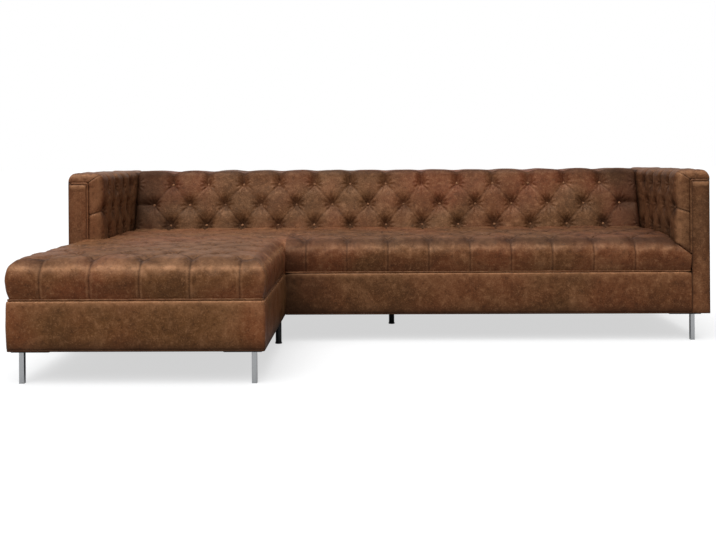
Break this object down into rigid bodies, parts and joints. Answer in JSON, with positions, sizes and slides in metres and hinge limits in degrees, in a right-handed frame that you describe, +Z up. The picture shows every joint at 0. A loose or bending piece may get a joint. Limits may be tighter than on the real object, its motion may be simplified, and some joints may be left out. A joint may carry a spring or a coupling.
{
  "type": "sectional sofa with chaise",
  "caption": "Low sectional sofa with a chaise on its left, square arms, diamond-tufted leather back, arms and seats, a smooth leather band below and slim square metal legs.",
  "frame": {"origin": "on the floor, under the middle of the box that the sofa fills", "axes": "+X to the viewer's right along the back, +Y towards the back, +Z up; the chaise is at -X and reaches to -Y"},
  "size_m": [3.02, 1.65, 0.805],
  "materials": {
    "leather": "aniline pull-up leather, mottled and rubbed lighter on the edges",
    "hardwood": "planed, bare",
    "foam": "open upholstery foam",
    "webbing": "woven elastic strap",
    "dust_cloth": "thin non-woven cloth",
    "chrome": "mirror polished",
    "black_plastic": "satin moulded"
  },
  "bodies": {
    "root": {"chaise_front_rail": "hardwood", "chaise_rear_rail": "hardwood", "chaise_left_rail": "hardwood", "chaise_right_rail": "hardwood", "chaise_front_cross_board": "hardwood", "chaise_middle_cross_board": "hardwood", "chaise_dust_cloth": "dust_cloth", "bench_front_rail": "hardwood", "bench_rear_rail": "hardwood", "bench_left_rail": "hardwood", "bench_right_rail": "hardwood", "bench_left_cross_board": "hardwood", "bench_right_cross_board": "hardwood", "bench_dust_cloth": "dust_cloth", "chaise_webbing": "webbing", "bench_webbing": "webbing", "chaise_seat_cushion": "leather", "chaise_seat_foam": "foam", "bench_seat_cushion": "leather", "bench_seat_foam": "foam", "back_foot_rail": "hardwood", "back_top_rail": "hardwood", "back_far_left_post": "hardwood", "back_left_post": "hardwood", "back_right_post": "hardwood", "back_far_right_post": "hardwood", "back_cushion": "leather", "back_outside_cover": "leather", "left_arm_side_board": "hardwood", "left_arm_top_board": "hardwood", "left_arm_front_post": "hardwood", "left_arm_rear_post": "hardwood", "left_arm_pad": "leather", "left_arm_piping": "leather", "left_arm_front_panel": "leather", "left_arm_outside_cover": "leather", "right_arm_side_board": "hardwood", "right_arm_top_board": "hardwood", "right_arm_front_post": "hardwood", "right_arm_rear_post": "hardwood", "right_arm_pad": "leather", "right_arm_piping": "leather", "right_arm_front_panel": "leather", "right_arm_outside_cover": "leather", "chaise_front_band": "leather", "chaise_left_band": "leather", "chaise_right_band": "leather", "bench_band": "leather", "chaise_welt": "leather", "bench_welt": "leather", "chaise_front_left_leg": "chrome", "chaise_front_right_leg": "chrome", "bench_front_right_leg": "chrome", "rear_left_leg": "chrome", "rear_right_leg": "chrome", "chaise_support_leg": "black_plastic", "bench_support_leg": "black_plastic", "rear_support_leg": "black_plastic"}
  },
  "joints": []
}
